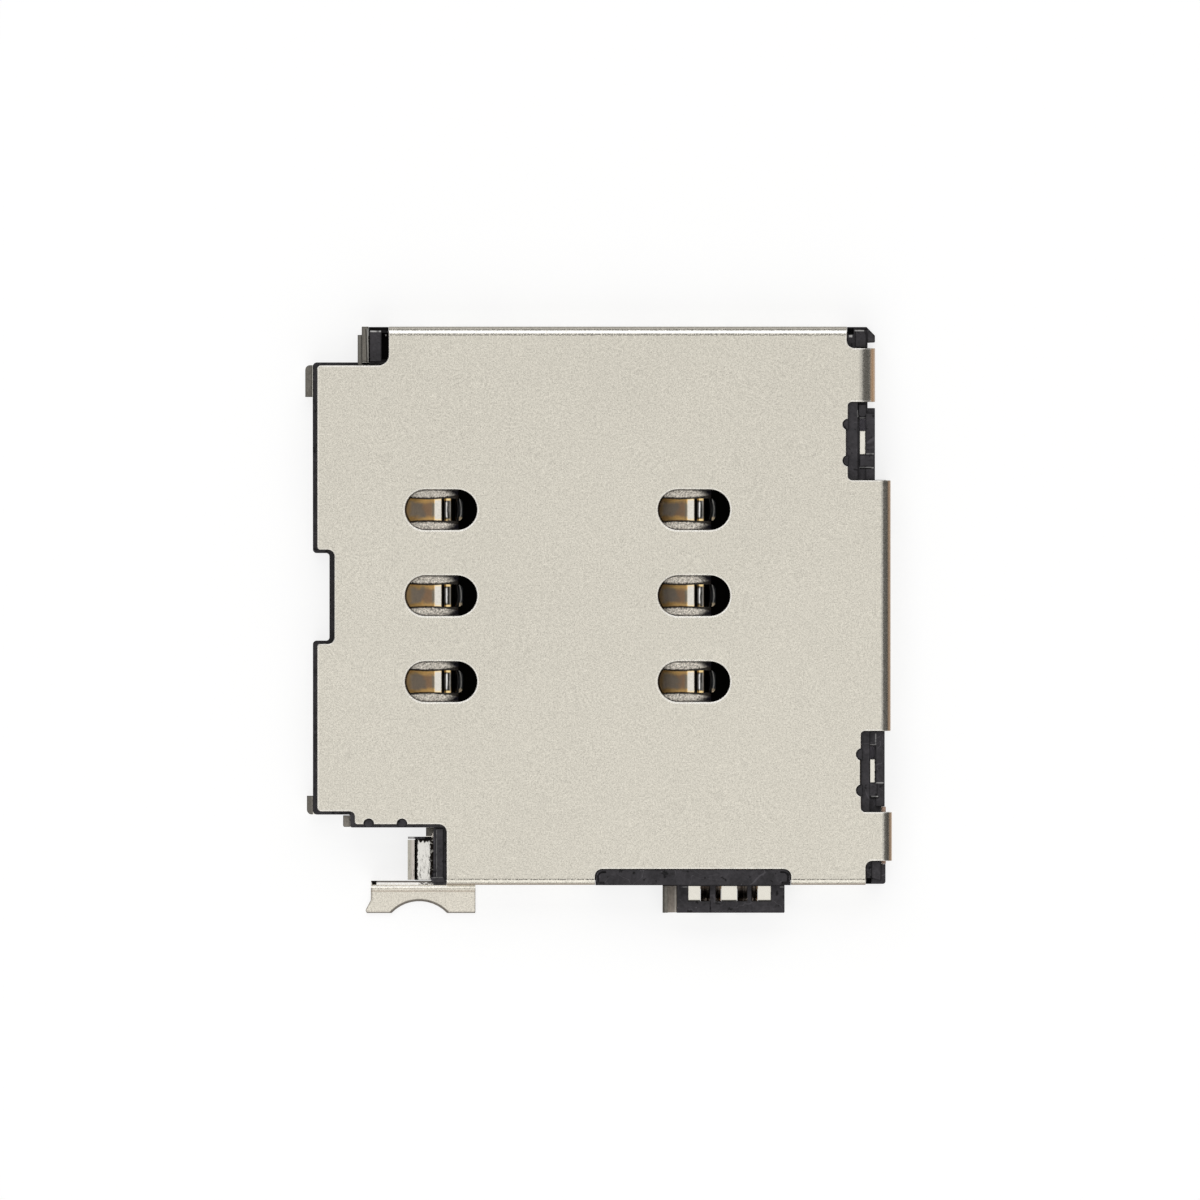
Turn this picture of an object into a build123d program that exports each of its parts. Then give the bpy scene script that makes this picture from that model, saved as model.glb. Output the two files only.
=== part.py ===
from build123d import *
import os
from math import radians, sin, tan

# A push-out SIM card reader, lying on its solder side. Millimetres.
# X points from the tray mouth (left) to the back, Y along the mouth, Z out of the cover.
# The origin is the middle of the footprint, on the plane of the circuit board.

# ---------------------------------------------------------------- driving dimensions
height = 1.50              # board to cover face
sheet = 0.12               # cover sheet
plate_t = 0.20             # base plate sheet
floor_z = 0.45             # tray floor
wall_foot = 0.15           # lower edge of the cover walls, above the board
edge_round = 0.018         # round on the stamped upper edges

north = 8.667              # outer faces of the cover walls
south = -7.83
east = 8.632
east_tab = 8.174
south_east_tab = 8.668
bend_north = 0.25          # outer bend radii of the cover
bend_south = 0.19
bend_east = 0.29
bend_tab = 0.47

pitch = 2.54               # card contact rows
row_mid = 0.717            # middle row
column_left = -4.659
column_right = 2.812
slot_len = 2.13
slot_wide = 1.20

contact_t = 0.10           # contact strip
contact_root_z = 0.32      # middle of the strip inside the floor
crest_z = 1.12             # top of the contact, free

pivot_x, pivot_y = 6.75, -4.30
pin_r = 0.45
lever_hole_r = 0.50
lever_z0, lever_z1 = 0.50, 0.75
rod_z = 0.60               # middle of the rod sheet
rod_t = 0.20
rod_tip_x = 6.35

under = height - sheet     # underside of the cover plate


# ---------------------------------------------------------------- drawing helpers
def ring(points, place):
    """Closed wire through (a, b) or (a, b, radius) corners, each rounded by its radius."""
    pts = [(p[0], p[1], p[2] if len(p) > 2 else 0.0) for p in points]
    corners = []
    for i, (a, b, r) in enumerate(pts):
        here = Vector(a, b, 0)
        if r <= 0:
            corners.append((here, None, here))
            continue
        back = (Vector(pts[i - 1][0], pts[i - 1][1], 0) - here).normalized()
        nxt = pts[(i + 1) % len(pts)]
        on = (Vector(nxt[0], nxt[1], 0) - here).normalized()
        half = radians(back.get_angle(on) / 2)
        reach = r / tan(half)
        way = (back + on).normalized()
        middle = here + way * (r / sin(half))
        corners.append((here + back * reach, middle - way * r, here + on * reach))
    edges = []
    for i, (start, mid, end) in enumerate(corners):
        if mid is not None:
            edges.append(ThreePointArc(place(start), place(mid), place(end)))
        follow = corners[(i + 1) % len(corners)][0]
        if (follow - end).length > 1e-6:
            edges.append(Line(place(end), place(follow)))
    return Wire(edges)


def slab(points, z0, z1):
    """Plan outline, from z0 to z1."""
    face = Face(ring(points, lambda v: Vector(v.X, v.Y, z0)))
    return extrude(face, amount=z1 - z0, dir=(0, 0, 1))


def along_x(points, x0, x1):
    """(y, z) section, from x0 to x1."""
    face = Face(ring(points, lambda v: Vector(x0, v.X, v.Y)))
    return extrude(face, amount=x1 - x0, dir=(1, 0, 0))


def along_y(points, y0, y1):
    """(x, z) section, from y0 to y1."""
    face = Face(ring(points, lambda v: Vector(v.X, y0, v.Y)))
    return extrude(face, amount=y1 - y0, dir=(0, 1, 0))


def block(x0, x1, y0, y1, z0, z1):
    return Pos((x0 + x1) / 2, (y0 + y1) / 2, (z0 + z1) / 2) * Box(x1 - x0, y1 - y0, z1 - z0)


def disc(x, y, r, z0, z1):
    return Pos(x, y, (z0 + z1) / 2) * Cylinder(r, z1 - z0)


def strip(line, thick):
    """Outline of a bent strip about its middle line of (a, b, bend radius) points."""
    pts = [(p[0], p[1], p[2] if len(p) > 2 else 0.0) for p in line]
    left, right = [], []
    for i, (a, b, r) in enumerate(pts):
        here = Vector(a, b, 0)
        dirs = []
        if i > 0:
            dirs.append((here - Vector(pts[i - 1][0], pts[i - 1][1], 0)).normalized())
        if i < len(pts) - 1:
            dirs.append((Vector(pts[i + 1][0], pts[i + 1][1], 0) - here).normalized())
        normals = [Vector(-d.Y, d.X, 0) for d in dirs]
        if len(normals) == 1:
            out, turn = normals[0], 0.0
        else:
            mean = (normals[0] + normals[1]).normalized()
            out = mean * (1 / mean.dot(normals[0]))
            turn = dirs[0].X * dirs[1].Y - dirs[0].Y * dirs[1].X
        half = thick / 2
        lead, trail = here + out * half, here - out * half
        if len(normals) == 1 or abs(turn) < 1e-9:
            left.append((lead.X, lead.Y))
            right.append((trail.X, trail.Y))
        else:
            inner, outer = max(r - half, 0.012), max(r, half + 0.012) + half
            left.append((lead.X, lead.Y, inner if turn > 0 else outer))
            right.append((trail.X, trail.Y, outer if turn > 0 else inner))
    return left + right[::-1]


def obround(x, y, length, wide, z0, z1):
    r = wide / 2
    h = length / 2 - r
    body = block(x - h, x + h, y - r, y + r, z0, z1)
    return body + disc(x - h, y, r, z0, z1) + disc(x + h, y, r, z0, z1)


rows = [row_mid + pitch, row_mid, row_mid - pitch]
contact_places = {
    "contact_vcc": (column_left, rows[0]),
    "contact_reset": (column_left, rows[1]),
    "contact_clock": (column_left, rows[2]),
    "contact_ground": (column_right, rows[0]),
    "contact_program": (column_right, rows[1]),
    "contact_data": (column_right, rows[2]),
}

# ---------------------------------------------------------------- top_shell
# Flat part of the cover, up to where its walls start to bend down.
y_n = north - bend_north
y_s = south + bend_south
x_e = east - bend_east
x_tab = east_tab - bend_tab
x_se = south_east_tab - 0.29
cover = slab(
    [
        (-6.198, y_n),
        (7.340, y_n),
        (7.340, 8.030, 0.22),
        (x_tab, 8.030),
        (x_tab, 6.440),
        (7.371, 6.440, 0.12),
        (7.371, 5.775),
        (7.315, 5.775),
        (7.315, 4.702),
        (7.371, 4.702),
        (7.371, 4.127, 0.12),
        (x_e, 4.127),
        (x_e, -3.280),
        (7.755, -3.280, 0.12),
        (7.755, -3.973),
        (7.731, -3.973),
        (7.731, -5.040),
        (7.755, -5.040),
        (7.755, -5.675, 0.12),
        (x_se, -5.675),
        (x_se, -7.118),
        (7.895, -7.118, 0.20),
        (7.895, y_s),
        (5.687, y_s),
        (5.687, -7.359, 0.22),
        (-0.100, -7.359, 0.22),
        (-0.100, y_s),
        (-4.487, y_s),
        (-4.487, -6.035, 0.24),
        (-7.200, -6.035, 0.08),
        (-7.200, -5.654, 0.16),
        (-8.305, -5.654, 0.12),
        (-8.305, -0.712, 0.09),
        (-7.797, -0.712, 0.20),
        (-7.797, 2.077, 0.20),
        (-8.305, 2.077, 0.09),
        (-8.305, 7.518, 0.10),
        (-6.198, 7.518, 0.31),
    ],
    under,
    height,
)
# Round notches round the locating pegs, and the six inspection slots.
pegs = [(7.387, 5.775, 0.17), (7.387, 4.702, 0.17), (7.798, -3.973, 0.185), (7.798, -5.040, 0.185)]
edge_pegs = [(-6.787, -6.0175, 0.1475), (-5.805, -6.0175, 0.1475)]
for x, y, r in pegs + edge_pegs:
    cover -= disc(x, y, r, 1.0, 2.0)
for x, y in contact_places.values():
    cover -= obround(x + 0.010, y, slot_len, slot_wide, 1.0, 2.0)


def wall_section(out, bend, low, sign):
    """Bend and wall below a cover edge, as (side, z) corners. sign is +1 where out is the higher side."""
    flat, inner = out - sign * bend, out - sign * sheet
    return [
        (flat, height),
        (out, height, bend),
        (out, low),
        (inner, low),
        (inner, under, bend - sheet),
        (flat, under),
    ]


north_wall = along_x(wall_section(north, bend_north, wall_foot, 1), -6.198, 7.340)
south_wall = along_x(wall_section(south, bend_south, wall_foot, -1), -4.487, -0.100)
south_wall_2 = along_x(wall_section(south, bend_south, wall_foot, -1), 5.687, 7.895)
east_wall = along_y(wall_section(east, bend_east, wall_foot, 1), -3.280, 4.127)
tab_1 = along_y(wall_section(east_tab, bend_tab, 0.0, 1), 6.440, 8.030)
tab_3 = along_y(wall_section(south_east_tab, 0.29, 0.0, 1), -7.118, -5.675)
# Rounded lower corners of the two solder tabs.
for y0, y1, x in ((6.440, 8.030, east_tab), (-7.118, -5.675, south_east_tab)):
    for y, s in ((y0, 1), (y1, -1)):
        cutter = block(x - 0.4, x + 0.1, min(y, y + s * 0.2), max(y, y + s * 0.2), -0.1, 0.2)
        cutter -= Pos(x - 0.15, y + s * 0.2, 0.2) * (Rot(0, 90, 0) * Cylinder(0.2, 1.0))
        if x == east_tab:
            tab_1 -= cutter
        else:
            tab_3 -= cutter

# Solder legs that carry on from the walls down to the board.
legs = [block(x - w / 2, x + w / 2, north - sheet, north, 0.0, wall_foot + 0.05) for x, w in ((-4.7, 0.9), (-0.7, 0.9), (3.3, 0.9), (6.7, 0.9))]
legs += [block(x - w / 2, x + w / 2, south, south + sheet, 0.0, wall_foot + 0.05) for x, w in ((-1.3, 1.0), (6.8, 0.9))]
legs += [block(east - sheet, east, y - 0.45, y + 0.45, 0.0, wall_foot + 0.05) for y in (2.9, -2.2)]

# The foot: the south wall runs on past the opening and turns outwards along the board.
foot_x0, foot_x1 = -6.700, -3.640
foot = along_x(
    [
        (south, wall_foot + 0.30),
        (south, sheet, 0.13),
        (-8.667, sheet),
        (-8.667, 0.0),
        (south + sheet, 0.0, 0.25),
        (south + sheet, wall_foot + 0.30),
    ],
    -6.95,
    foot_x1,
)
foot_plan = slab(
    [
        (-6.726, -7.60),
        (foot_x1, -7.60),
        (foot_x1, -8.667, 0.03),
        (-4.479, -8.667),
        (-5.2985, -7.950),
        (-6.118, -8.667),
        (-6.853, -8.667, 0.04),
        (-6.888, -8.585, 0.03),
        (-6.733, -8.285, 0.05),
    ],
    -0.1,
    1.0,
)
foot_plan += block(-6.118, -4.479, -8.667, -7.60, -0.1, 1.0)
foot = foot & foot_plan
foot -= disc(-5.2985, -9.452, 1.135, -1, 2)
foot_wall = block(-6.720, -4.990, south, south + sheet, wall_foot + 0.2, 0.95)
foot_wall += block(-5.000, foot_x1, south, south + sheet, wall_foot + 0.2, 0.60)

top_shell = cover + north_wall + south_wall + south_wall_2 + east_wall + tab_1 + tab_3
top_shell += foot + foot_wall
for leg in legs:
    top_shell += leg

# The stamping tool leaves the upper edges of the slots and of the outline slightly rounded.
top_shell = top_shell.solids()[0]


def cover_face(shape):
    flats = [f for f in shape.faces().filter_by(GeomType.PLANE) if abs(f.center().Z - height) < 1e-6]
    return max(flats, key=lambda f: f.area)


def bend_line(edge):
    c = edge.center()
    return any(abs(c.Y - y) < 1e-6 for y in (y_n, y_s)) or any(abs(c.X - x) < 1e-6 for x in (x_e, x_tab, x_se))


top_shell = top_shell.fillet(edge_round, [e for w in cover_face(top_shell).inner_wires() for e in w.edges()])
top_shell = top_shell.fillet(
    edge_round, [e for e in cover_face(top_shell).outer_wire().edges() if not bend_line(e)]
)

# Windows in the walls for the housing's catches.
catches_n = (-3.2, 1.2, 5.1)
catches_s = (-2.5, 6.8)
catches_e = (1.7, -1.2)
for x in catches_n:
    top_shell -= block(x - 0.55, x + 0.55, 8.4, 8.8, 0.55, 1.00)
for x in catches_s:
    top_shell -= block(x - 0.45, x + 0.45, -8.0, -7.6, 0.55, 1.00)
for y in catches_e:
    top_shell -= block(8.45, 8.75, y - 0.5, y + 0.5, 0.55, 1.00)

# ---------------------------------------------------------------- contacts
contact_line = [
    (-3.14, 0.05),
    (-2.86, 0.05, 0.12),
    (-2.64, contact_root_z, 0.12),
    (-1.72, contact_root_z, 0.35),
    (-0.185, 1.056, 0.09),
    (0.030, 1.070, 0.06),
    (0.118, 0.826, 0.02),
    (0.292, 0.824, 0.03),
    (0.430, 0.575, 0.07),
    (0.520, 0.535, 0.10),
    (0.650, 0.500),
]


def make_contact(x, y):
    line = [(x + p[0], *p[1:]) for p in contact_line]
    bent = along_y(strip(line, contact_t), y - 0.6, y + 0.6)
    half = [
        (-3.20, 0.38),
        (-2.52, 0.38),
        (-2.52, 0.50),
        (-2.14, 0.50),
        (-2.06, 0.40),
        (-1.60, 0.38),
        (-1.30, 0.365, 0.3),
        (-1.00, 0.355, 0.3),
        (-0.38, 0.318, 0.3),
        (0.05, 0.330, 0.3),
        (0.650, 0.330, 0.15),
    ]
    plan = [(x + p[0], y + p[1], *p[2:]) for p in half]
    plan += [(x + p[0], y - p[1], *p[2:]) for p in half[::-1]]
    return bent & slab(plan, -0.2, 2.0)


contacts = {name: make_contact(*place) for name, place in contact_places.items()}

# ---------------------------------------------------------------- detect switch strips
detect_mid_1, detect_mid_2, detect_half = 3.318, 4.402, 0.30
tail = [(-7.93, 0.90, 0.14), (-8.235, 0.05, 0.14), (-8.62, 0.05)]
detect_spring = along_x(
    strip([(-5.86, 0.90)] + tail, contact_t),
    detect_mid_1 - detect_half,
    detect_mid_1 + detect_half,
)
arm = slab(
    strip(
        [
            (3.058, -6.06),
            (3.058, -5.66, 0.10),
            (3.42, -5.66, 0.10),
            (3.72, -5.40, 0.12),
            (4.02, -5.66, 0.10),
            (4.66, -5.66),
        ],
        0.08,
    ),
    0.60,
    0.95,
)
detect_spring = detect_spring + arm
detect_contact = along_x(
    strip([(-5.92, 0.58), (-5.92, 0.90, 0.12)] + tail, contact_t),
    detect_mid_2 - detect_half,
    detect_mid_2 + detect_half,
)

# ---------------------------------------------------------------- tray latch spring
# A leaf along the north rail with a bump towards the tray; its root stands at the mouth.
tray_latch_spring = slab(
    strip(
        [
            (-7.057, 8.42),
            (-7.057, 7.48, 0.12),
            (-4.10, 7.48, 0.20),
            (-3.45, 7.20, 0.25),
            (-2.80, 7.48, 0.20),
            (-1.90, 7.48),
        ],
        0.12,
    ),
    0.60,
    1.10,
)

# ---------------------------------------------------------------- base_plate
plate = slab(
    [
        (-8.300, 7.450),
        (-6.996, 7.450),
        (-6.996, 8.665),
        (-6.798, 8.665),
        (-6.798, 8.400),
        (7.850, 8.400, 0.2),
        (7.850, 6.200),
        (8.050, 6.200),
        (8.050, 4.000),
        (8.400, 4.000),
        (8.400, -5.520),
        (8.490, -5.520),
        (8.490, -7.210),
        (8.400, -7.210),
        (8.400, -7.550, 0.2),
        (5.450, -7.550),
        (5.450, -8.600, 0.1),
        (1.894, -8.655),
        (1.894, -7.550),
        (-4.400, -7.550),
        (-5.300, -7.550),
        (-5.300, -6.500),
        (-5.100, -6.390),
        (-5.100, -5.980),
        (-7.320, -5.980),
        (-7.320, -6.120),
        (-7.550, -6.120, 0.05),
        (-7.550, -5.780),
        (-7.320, -5.780),
        (-7.320, -5.600),
        (-8.300, -5.600),
        (-8.300, -5.750),
        (-8.620, -5.750, 0.14),
        (-8.620, -5.200),
        (-8.300, -5.200),
        (-8.300, -0.900),
        (-7.720, -0.900),
        (-7.720, 2.250),
        (-8.300, 2.250),
        (-8.300, 6.590),
        (-8.668, 6.590),
        (-8.668, 7.530, 0.14),
        (-8.300, 7.530),
    ],
    0.0,
    plate_t,
)
# Upturned ears round the edge of the moulding.
ears = [
    slab([(-8.668, 6.590), (-8.462, 6.590), (-8.462, 7.530), (-8.668, 7.530, 0.14)], 0.1, 0.42),
    slab([(-8.620, -5.750, 0.14), (-8.442, -5.750), (-8.442, -5.200), (-8.620, -5.200)], 0.1, 0.42),
    slab([(-7.550, -6.120, 0.05), (-7.345, -6.120), (-7.345, -5.780), (-7.550, -5.780)], 0.1, 0.42),
    slab([(-5.100, -6.390), (-4.840, -6.390), (-4.840, -6.143), (-5.100, -6.143)], 0.1, 0.42),
    block(-6.996, -6.798, 7.625, 8.665, 0.1, 1.20),
    block(8.365, 8.490, -7.210, -5.520, 0.1, 1.00),
    block(1.894, 2.040, -8.655, -7.862, 0.1, 1.05),
]
base_plate = plate
for ear in ears:
    base_plate += ear
# Windows round the soldered ends of the contacts, and open slots round those of the switch.
for x, y in contact_places.values():
    base_plate -= block(x - 3.30, x - 2.50, y - 0.56, y + 0.56, -0.1, 0.3)
for x in (detect_mid_1, detect_mid_2):
    base_plate -= block(x - detect_half - 0.012, x + detect_half + 0.012, -8.70, -7.95, -0.1, 0.3)
base_plate -= disc(pivot_x, pivot_y, pin_r, -0.1, 0.3)
for x, y in ((-1.4, 6.3), (5.9, 6.3), (-2.6, -4.7), (4.6, -4.7)):
    base_plate -= disc(x, y, 0.40, -0.1, 0.3)

# ---------------------------------------------------------------- housing
floor = slab(
    [
        (-8.450, 7.612, 0.13),
        (-6.790, 7.612),
        (-6.790, 8.655, 0.02),
        (-6.208, 8.655),
        (-6.208, 8.520),
        (7.350, 8.520),
        (7.350, 8.655),
        (7.920, 8.655, 0.02),
        (8.168, 8.400, 0.02),
        (8.168, 8.200, 0.02),
        (7.950, 8.190),
        (7.950, 6.260),
        (8.168, 6.260, 0.02),
        (8.168, 4.137),
        (8.490, 4.137),
        (8.490, -3.285),
        (8.455, -3.285),
        (8.455, -5.510),
        (8.355, -5.510),
        (8.355, -7.220),
        (8.480, -7.220),
        (8.480, -7.800, 0.08),
        (7.905, -7.800),
        (7.905, -7.690),
        (5.677, -7.690),
        (5.677, -7.838),
        (5.498, -7.838),
        (5.498, -8.655, 0.03),
        (2.050, -8.655),
        (2.050, -7.838),
        (-0.090, -7.838),
        (-0.090, -7.690),
        (-5.420, -7.690),
        (-5.420, -6.470),
        (-5.630, -6.470),
        (-5.630, -6.410),
        (-4.830, -6.410),
        (-4.830, -6.133),
        (-7.335, -6.133, 0.06),
        (-7.335, -5.755, 0.06),
        (-8.442, -5.755, 0.12),
        (-8.442, -0.612, 0.11),
        (-7.953, -0.612, 0.10),
        (-7.953, 1.976, 0.10),
        (-8.442, 1.976, 0.11),
    ],
    plate_t,
    floor_z,
)
rail_n = along_x(
    [(7.38, 0.40), (7.38, under), (8.37, under), (8.52, 1.23), (8.52, 0.40)], -6.190, 7.340
)
# Hollow behind the latch spring, and the groove that lets its root out at the mouth.
rail_n -= block(-6.30, -1.80, 7.30, 7.80, floor_z, under)
rail_n += block(-6.19, -5.60, 7.545, 7.90, 0.40, under)
rail_n += block(-6.19, -5.00, 7.38, 7.415, 0.40, under)
rail_n -= block(-4.9, -4.2, 7.95, 8.20, 0.80, 2.0)

nw_block = slab(
    [(-6.790, 7.550), (-6.790, 8.655, 0.02), (-6.208, 8.655), (-6.190, 7.550)], 0.30, 1.14
)
nw_block += block(-6.755, -6.425, 7.640, 8.560, 0.9, 1.30)
nw_block -= block(-6.400, -6.215, 7.700, 8.480, 0.70, 2.0)
nw_block += block(-6.300, -6.215, 8.360, 8.440, 0.60, 1.05)

ne_block = slab(
    [
        (7.200, 8.520),
        (7.350, 8.520),
        (7.350, 8.655),
        (7.920, 8.655, 0.02),
        (8.168, 8.400, 0.02),
        (8.168, 8.200, 0.02),
        (7.950, 8.190),
        (7.950, 8.050),
        (7.750, 8.050),
        (7.750, 6.430),
        (7.200, 6.430),
    ],
    0.40,
    1.24,
)
ne_block += slab(
    [
        (7.600, 8.060),
        (7.600, 8.560),
        (7.840, 8.560),
        (7.900, 8.420),
        (7.900, 8.060),
    ],
    1.1,
    1.34,
)
ne_block += slab([(7.900, 8.610), (7.950, 8.420), (7.950, 8.215), (8.155, 8.215), (8.155, 8.385), (7.945, 8.610)], 1.1, 1.30)
ne_block -= block(7.365, 7.540, 8.440, 8.620, 0.70, 2.0)
ne_block -= block(7.560, 7.930, 8.575, 8.605, 1.10, 2.0)

east_block = along_y(
    [(7.20, 0.40), (7.20, under), (8.32, under), (8.49, 1.21), (8.49, 0.40)], -3.285, 4.137
)
# Moulded pockets that keep the back block's walls thin.
for y0, y1 in ((-2.9, -1.1), (-0.7, 1.4), (1.8, 3.7)):
    east_block -= block(7.45, 8.20, y0, y1, 0.70, under - 0.0)

# Upper right opening: a strip, a peg, a window down to the plate and an outer bar.
ne_open = slab(
    [
        (7.200, 4.100),
        (7.200, 6.440),
        (7.950, 6.440),
        (7.950, 6.260),
        (8.168, 6.260, 0.02),
        (8.168, 4.137),
    ],
    0.40,
    1.18,
)
ne_open += slab([(7.200, 4.13), (7.200, 6.43), (7.660, 6.43), (7.660, 4.13)], 1.1, 1.36)
ne_open += block(7.903, 8.160, 4.145, 6.100, 1.1, 1.30)
ne_open += slab([(7.690, 6.360), (7.905, 6.360), (7.905, 6.010, 0.08), (7.690, 6.010, 0.08)], 1.1, 1.32)
ne_open -= block(7.715, 7.895, 5.600, 5.940, 0.80, 2.0)
ne_open -= block(7.726, 7.886, 4.898, 5.587, 0.0, 2.0)
ne_open += block(7.725, 8.139, 4.540, 4.860, 1.0, 1.34)
ne_open -= block(7.740, 8.060, 4.470, 4.500, 1.0, 2.0)

# Lower right opening, of the same kind.
se_open = slab(
    [(7.755, -5.690), (7.755, -3.200), (8.455, -3.200), (8.455, -5.510), (8.355, -5.510), (8.355, -5.690)],
    0.40,
    1.18,
)
se_open += slab([(7.755, -5.67), (7.755, -3.29), (8.010, -3.29), (8.010, -5.67)], 1.1, 1.36)
se_open += slab([(8.000, -3.295), (8.440, -3.295), (8.440, -5.500), (8.200, -5.500), (8.200, -3.690), (8.000, -3.690)], 1.1, 1.30)
se_open -= block(8.020, 8.160, -4.110, -3.725, 0.80, 2.0)
se_open -= block(8.032, 8.170, -4.804, -4.124, 0.0, 2.0)
se_open += block(8.000, 8.230, -5.200, -4.820, 1.0, 1.34)
se_open -= block(8.050, 8.270, -5.270, -5.235, 1.0, 2.0)

se_corner = slab(
    [
        (7.905, -7.130),
        (8.355, -7.130),
        (8.355, -7.220),
        (8.480, -7.220),
        (8.480, -7.800, 0.08),
        (7.905, -7.800),
    ],
    0.40,
    1.22,
)
se_corner += slab([(8.080, -7.13), (8.340, -7.13), (8.340, -7.700), (8.080, -7.620)], 1.1, 1.32)
se_corner -= block(7.880, 8.060, -7.790, -7.630, 0.70, 2.0)

# Wall between the tray and the push rod; its outer edge is the black rim at the lower left.
wall_in = slab(
    [
        (-7.335, -6.133, 0.06),
        (-7.335, -5.755),
        (-7.335, -5.550),
        (6.180, -5.550),
        (6.180, -6.133),
    ],
    0.40,
    under,
)
wall_in -= block(2.92, 4.82, -6.00, -5.50, 0.55, 2.0)
for x0, x1 in ((-3.6, -1.2), (-0.8, 1.6)):
    wall_in -= block(x0, x1, -5.98, -5.70, 0.75, 2.0)

# Outer wall of the rod's channel, and the bar that fills the opening in the cover.
wall_out = along_x(
    [(-7.38, 0.40), (-7.38, under), (-7.61, under), (-7.69, 1.30), (-7.69, 0.40)], -3.750, 7.895
)
bar = slab(
    [
        (-0.085, -7.838),
        (-0.085, -7.374, 0.21),
        (5.672, -7.374, 0.21),
        (5.672, -7.838),
    ],
    0.40,
    1.46,
)
# Curved lips at both ends of the bar.
for x, s in ((-0.085, 1), (5.672, -1)):
    lip = slab(
        [
            (x + s * 0.055, -7.838),
            (x + s * 0.055, -7.430, 0.16),
            (x + s * 0.30, -7.430),
            (x + s * 0.30, -7.470),
            (x + s * 0.095, -7.470, 0.12),
            (x + s * 0.095, -7.838),
        ],
        1.30,
        2.0,
    )
    bar -= lip
    bar -= block(min(x + s * 0.0, x + s * 0.26), max(x + s * 0.0, x + s * 0.26), -7.90, -7.745, 1.20, 2.0)

# Detect switch frame: outer bars, and two thin bars over the strips.
frame = block(2.050, 5.498, -8.655, -7.800, floor_z, 1.10)
frame = slab(
    [(2.313, -7.800), (5.498, -7.800), (5.498, -8.655, 0.03), (2.313, -8.655)], 0.40, 1.10
)
frame -= block(2.653, 5.099, -8.312, -7.866, 0.0, 2.0)
for x0, x1 in ((3.288, 3.462), (4.393, 4.523)):
    frame += block(x0, x1, -8.330, -7.850, 1.00, 1.10)
frame -= block(3.292, 3.312, -8.70, -8.312, 1.08, 2.0)

# Bar over the push rod's head.
head_bar = block(-4.880, -4.500, -7.838, -6.090, 1.12, 1.26)
head_bar += slab(
    [(-4.795, -7.610), (-4.795, -6.174), (-4.594, -6.174), (-4.594, -7.610)], 1.2, 1.36
)
head_bar += block(-4.940, -4.560, -7.760, -7.600, 1.2, 1.33)
head_bar += block(-4.880, -4.500, -6.120, -6.000, 0.40, 1.26)
lip_wall = block(-5.630, -5.120, -6.470, -6.412, 0.40, 1.10)

# Catches that snap into the windows of the cover walls.
catches = []
for x in catches_n:
    catches.append(along_x([(8.50, 0.60), (8.60, 0.60), (8.50, 0.96)], x - 0.50, x + 0.50))
for x in catches_s:
    catches.append(along_x([(-7.67, 0.60), (-7.67, 0.96), (-7.77, 0.60)], x - 0.40, x + 0.40))
for y in catches_e:
    catches.append(along_y([(8.47, 0.60), (8.57, 0.60), (8.47, 0.96)], y - 0.45, y + 0.45))

housing = floor + rail_n + nw_block + ne_block + east_block + ne_open + se_open + se_corner
housing += wall_in + wall_out + bar + frame + head_bar + lip_wall
for catch in catches:
    housing += catch
for x, y, r in pegs:
    housing += disc(x, y, r - 0.02, 1.1, 1.44) & block(x - 1, x - 0.008, y - 1, y + 1, 1, 2)
for x, y, r in edge_pegs:
    housing += disc(x, y, r - 0.02, 1.1, 1.42) & block(-9, 0, -6.133, -5.5, 1, 2)

# Windows under the contacts, shallow pockets under their tips, and the plate openings.
for x, y in contact_places.values():
    window = [(x - 1.62, y - 0.60, 0.1), (x - 1.62, y + 0.60, 0.1), (x + 0.52, y + 0.60), (x + 0.52, y - 0.60)]
    housing -= slab(window, 0.0, 0.6)
    housing -= block(x + 0.50, x + 0.95, y - 0.46, y + 0.46, 0.30, 0.6)
housing -= block(7.726, 7.886, 4.898, 5.587, 0.0, 0.6)
housing -= block(8.032, 8.170, -4.804, -4.124, 0.0, 0.6)
housing -= block(2.653, 5.099, -8.312, -7.866, 0.0, 0.6)
housing -= block(2.050, 2.313, -8.70, -7.862, 0.0, 2.0)
housing -= disc(pivot_x, pivot_y, pin_r, 0.0, 0.6)
for contact in contacts.values():
    housing -= contact
housing -= detect_spring
housing -= detect_contact
housing -= base_plate

# ---------------------------------------------------------------- eject rod, lever and rivet
rod_head = along_y(
    strip([(-5.538, 1.05), (-5.538, rod_z, 0.16), (-4.950, rod_z)], rod_t), -7.680, -6.500
)
rod_body = slab(
    [
        (-5.100, -7.680),
        (-4.980, -6.500, 0.05),
        (-4.860, -6.200, 0.08),
        (5.900, -6.200, 0.3),
        (6.060, -6.530, 0.1),
        (rod_tip_x, -6.530, 0.28),
        (rod_tip_x, -7.170, 0.28),
        (6.060, -7.170, 0.1),
        (5.900, -7.300, 0.1),
        (-4.860, -7.300, 0.08),
        (-4.975, -7.680, 0.06),
    ],
    rod_z - rod_t / 2,
    rod_z + rod_t / 2,
)
eject_rod = rod_head + rod_body
for x in (-2.5, 2.0):
    eject_rod -= obround(x, -6.75, 1.6, 0.40, 0.0, 1.0)

lever_plan = slab(
    [
        (pivot_x - 0.35, -7.120, 0.22),
        (pivot_x - 0.35, 0.000, 0.4),
        (pivot_x - 0.42, 0.350, 0.2),
        (pivot_x - 0.38, 0.640, 0.2),
        (pivot_x + 0.06, 0.640, 0.2),
        (pivot_x + 0.16, 0.000, 0.4),
        (pivot_x + 0.33, -3.000, 0.4),
        (pivot_x + 0.35, -7.120, 0.22),
    ],
    lever_z0,
    lever_z1,
)
eject_lever = lever_plan + disc(pivot_x, pivot_y, 0.85, lever_z0, lever_z1)
eject_lever -= disc(pivot_x, pivot_y, lever_hole_r, 0.0, 1.0)

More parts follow.
